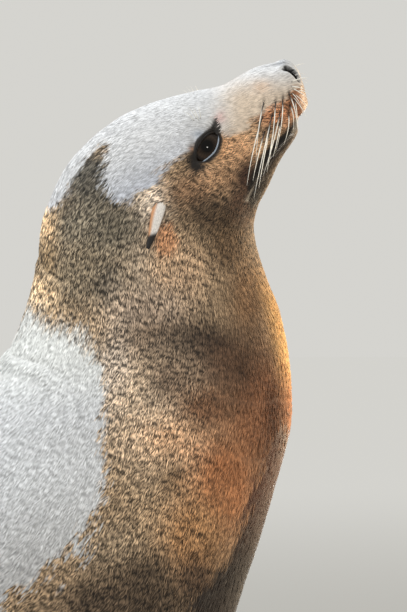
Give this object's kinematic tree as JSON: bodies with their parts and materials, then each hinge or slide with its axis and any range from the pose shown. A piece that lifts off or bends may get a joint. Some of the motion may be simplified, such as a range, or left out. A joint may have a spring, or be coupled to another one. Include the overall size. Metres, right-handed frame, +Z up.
{
  "type": "sea lion",
  "caption": "Life-size sea lion sitting up on its fore flippers with its hind flippers turned forward, head raised and turned a little to its right.",
  "frame": {"origin": "on the floor, at the middle of the model's footprint", "axes": "+X the way the animal faces, +Y its left side, +Z up"},
  "size_m": [1.0874, 0.8756, 0.8971],
  "materials": {
    "coat": "short brown fur, wet and glossy in places",
    "flipper": "dark skin, short fur at the root",
    "eye": "glossy, very dark brown",
    "nail": "satin, dark horn"
  },
  "bodies": {
    "root": {"head": "coat", "lower_jaw": "coat", "neck": "coat", "chest": "coat", "trunk": "coat", "pelvis": "coat", "tail": "coat", "ear_left": "coat", "ear_right": "coat", "fore_flipper_left": "flipper", "fore_flipper_right": "flipper", "hind_flipper_left": "flipper", "hind_flipper_right": "flipper", "eye_left": "eye", "eye_right": "eye", "hind_nail_left_2": "nail", "hind_nail_left_3": "nail", "hind_nail_left_4": "nail", "hind_nail_right_2": "nail", "hind_nail_right_3": "nail", "hind_nail_right_4": "nail"}
  },
  "joints": []
}
